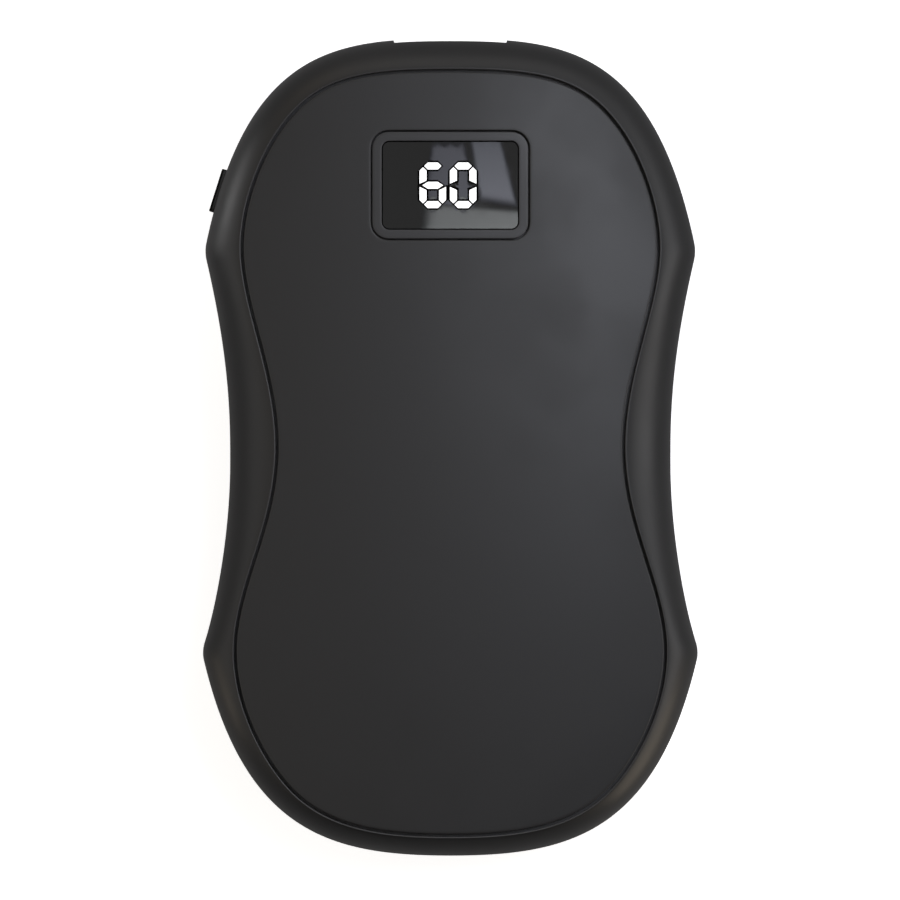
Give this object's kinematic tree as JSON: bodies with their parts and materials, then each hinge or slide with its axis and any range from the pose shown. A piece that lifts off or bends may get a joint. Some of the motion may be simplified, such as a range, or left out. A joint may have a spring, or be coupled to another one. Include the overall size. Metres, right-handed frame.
{
  "type": "rechargeable hand warmer",
  "caption": "Peanut-shaped pocket hand warmer: crowned covers snapped to a one-piece rim, inset digit display, side push button and USB-C port in the end.",
  "frame": {"origin": "middle of the outline, on the flat that is cut into the rear crown to rest on", "axes": "+Z out of the display cover, +Y towards the end with the port, +X to the right as the display is read"},
  "size_m": [0.0636, 0.1048, 0.026],
  "materials": {
    "soft_touch_shell": "soft-touch matt black, very fine grain",
    "satin_bezel": "satin dark grey",
    "smoked_lens": "polished smoked clear",
    "black_rubber": "matt",
    "black_plastic": "matt",
    "lit_segment": "lit white diffuser",
    "unlit_segment": "unlit diffuser behind a dark mask",
    "tinned_metal": "tinned",
    "button_plastic": "polished black",
    "ivory_plastic": "satin",
    "port_plastic": "satin black",
    "steel_shell": "satin",
    "contact_brass": "gold-plated",
    "board_green": "solder mask",
    "ferrite": "matt sintered",
    "ceramic_tan": "fired ceramic",
    "tray_plastic": "as moulded",
    "cell_foil": "matt foil",
    "red_lead": "smooth sleeve",
    "pale_lead": "smooth sleeve",
    "spreader_aluminium": "mill finish",
    "heater_film": "amber film",
    "foam": "open foam",
    "screw_steel": "black zinc worn bright"
  },
  "bodies": {
    "housing": {"mid_frame": "soft_touch_shell", "front_cover": "soft_touch_shell", "rear_cover": "soft_touch_shell", "display_bezel": "satin_bezel", "display_lens": "smoked_lens", "display_gasket": "black_rubber", "display_housing": "black_plastic", "digit_segments_lit": "lit_segment", "digit_segments_unlit": "unlit_segment", "display_pins": "tinned_metal", "switch_body": "black_plastic", "port_plate": "port_plastic", "usb_c_shell": "steel_shell", "usb_c_tongue": "black_plastic", "usb_c_contacts": "contact_brass", "main_board": "board_green", "controller_chips": "black_plastic", "power_inductor": "ferrite", "board_capacitors": "ceramic_tan", "battery_connector": "ivory_plastic", "battery_tray": "tray_plastic", "battery_cell": "cell_foil", "battery_tabs": "cell_foil", "protection_board": "board_green", "battery_leads": "red_lead", "front_heat_spreader": "spreader_aluminium", "rear_heat_spreader": "spreader_aluminium", "front_heater_film": "heater_film", "rear_heater_film": "heater_film", "front_thermistor": "black_plastic", "rear_thermistor": "black_plastic", "front_foam": "foam", "rear_foam": "foam", "front_heater_leads": "pale_lead", "rear_heater_leads": "pale_lead", "board_screws": "screw_steel", "tray_screws": "screw_steel"},
    "button": {"power_button": "button_plastic"},
    "plunger": {"switch_plunger": "ivory_plastic"}
  },
  "joints": [
    {"name": "button_press", "type": "slide", "parent": "housing", "child": "button", "axis": [0.9552, -0.2961, 0], "range_m": [0, 0.0003], "stiffness_N_per_m": 5000},
    {"name": "plunger_press", "type": "slide", "parent": "housing", "child": "plunger", "axis": [0.9552, -0.2961, 0], "range_m": [0, 0.0003]}
  ],
  "couplings": [
    {"joint": "plunger_press", "follows": "button_press", "ratio": 1}
  ]
}
